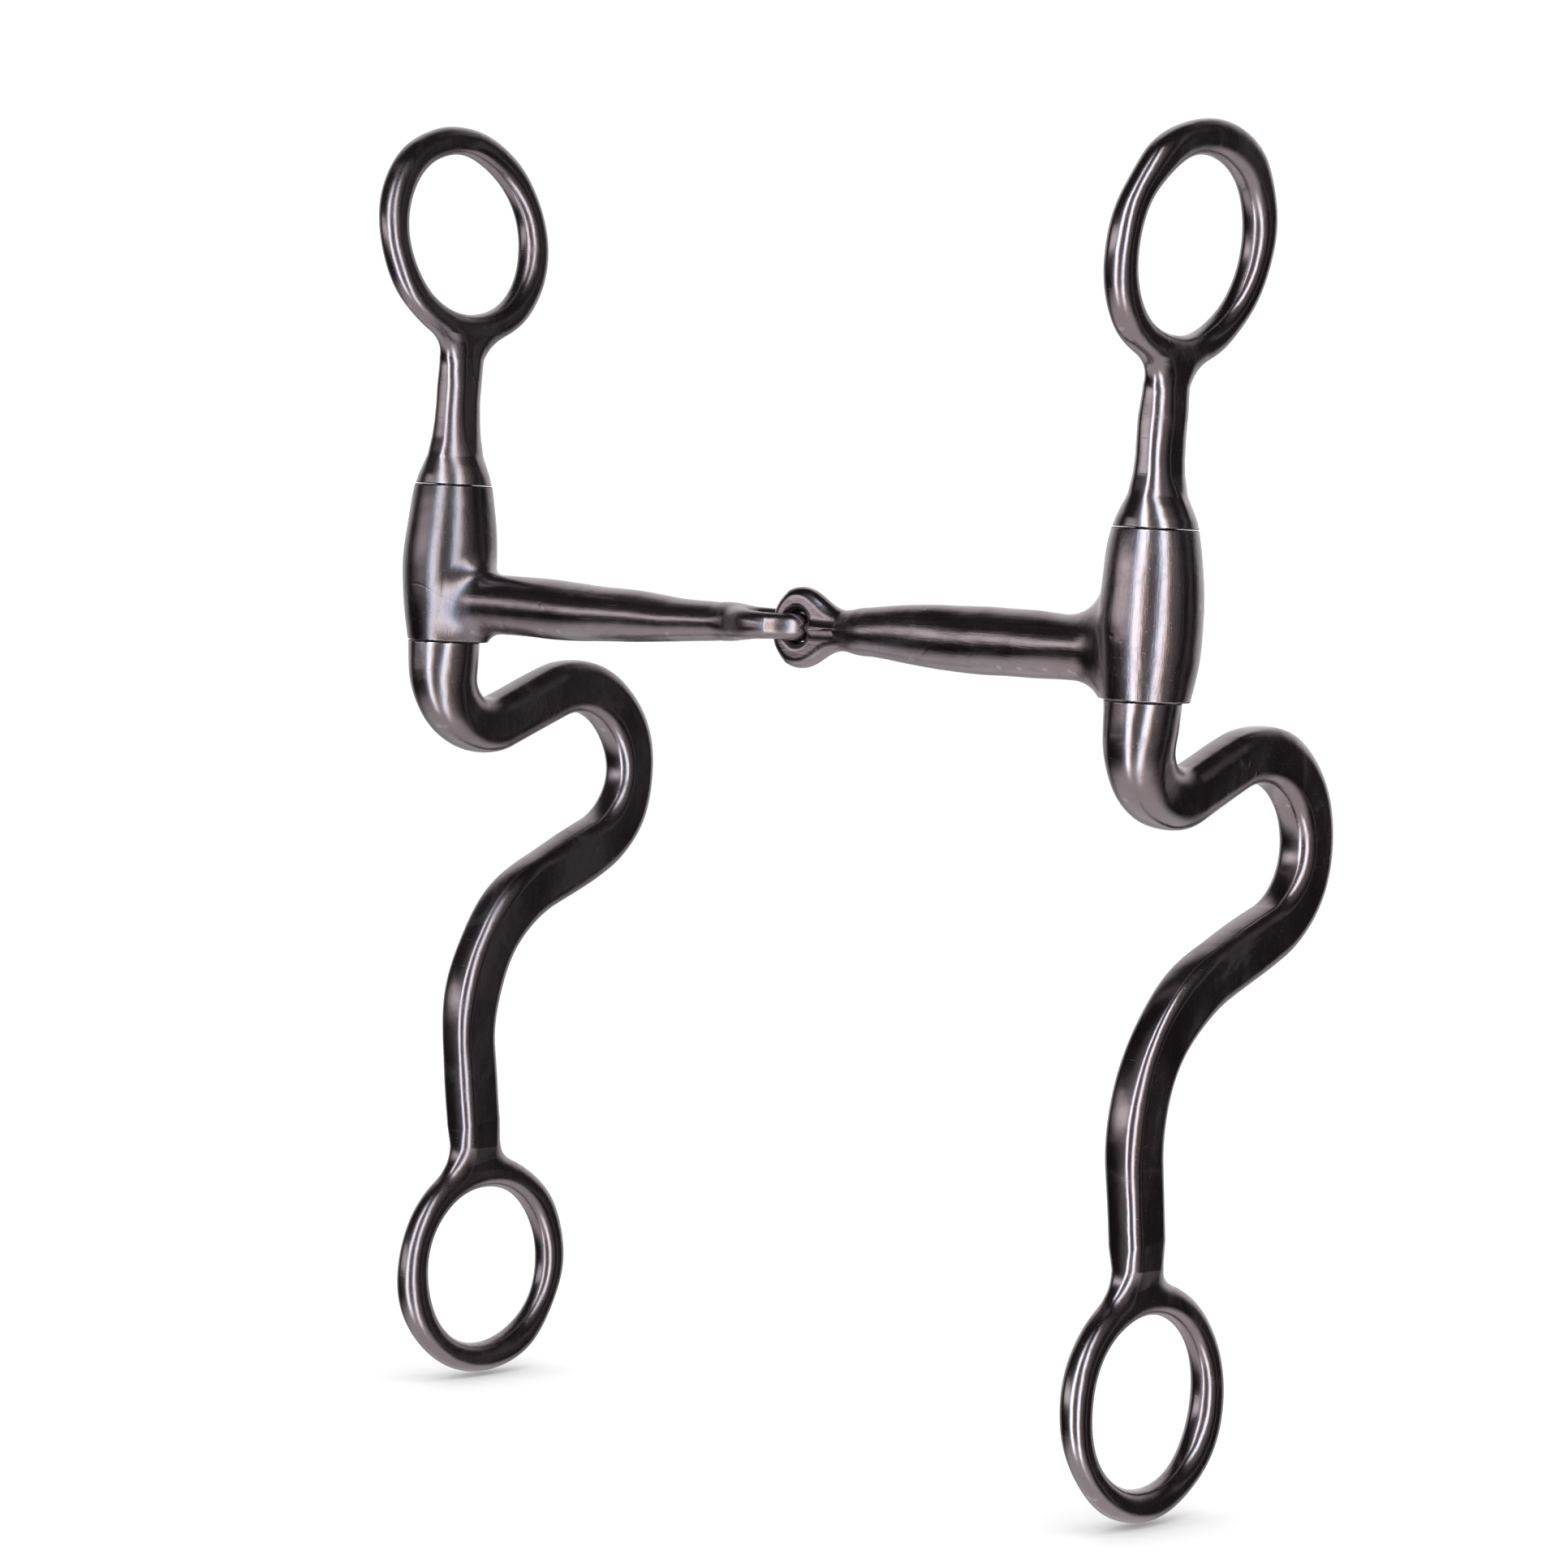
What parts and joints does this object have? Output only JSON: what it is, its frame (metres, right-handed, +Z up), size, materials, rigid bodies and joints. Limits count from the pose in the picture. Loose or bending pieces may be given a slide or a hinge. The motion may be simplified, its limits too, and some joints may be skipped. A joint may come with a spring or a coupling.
{
  "type": "curb bit",
  "caption": "Western loose-cheek curb bit: jointed tapered mouthpiece, upper cheeks with headstall rings and S-shaped shanks with rein rings, in dark steel.",
  "frame": {"origin": "half-way between the two pivot pins' axes, at the middle of the barrels' height", "axes": "+X along the mouthpiece to the right cheek, +Z up the cheeks to the headstall rings, +Y to the side that the shanks' big bend bulges to"},
  "size_m": [0.1574, 0.0638, 0.2054],
  "materials": {
    "mouth_steel": "dark satin, hand polished",
    "cheek_steel": "dark blued satin, hand polished",
    "pin_steel": "machined"
  },
  "bodies": {
    "mouth_right": {"mouthpiece_right": "mouth_steel"},
    "mouth_left": {"mouthpiece_left": "mouth_steel"},
    "cheek_right": {"purchase_right": "cheek_steel", "shank_right": "cheek_steel", "pivot_pin_right": "pin_steel"},
    "cheek_left": {"purchase_left": "cheek_steel", "shank_left": "cheek_steel", "pivot_pin_left": "pin_steel"}
  },
  "joints": [
    {"name": "mouth_fold", "type": "hinge", "parent": "mouth_right", "child": "mouth_left", "pos_m": [0.0015, 0, -0.0055], "axis": [0, 0, 1], "range_deg": [-70, 70]},
    {"name": "right_cheek_swivel", "type": "hinge", "parent": "mouth_right", "child": "cheek_right", "pos_m": [0.0711, 0, 0], "axis": [0, 0, 1], "continuous": true},
    {"name": "left_cheek_swivel", "type": "hinge", "parent": "mouth_left", "child": "cheek_left", "pos_m": [-0.0711, 0, 0], "axis": [0, 0, 1], "continuous": true}
  ]
}
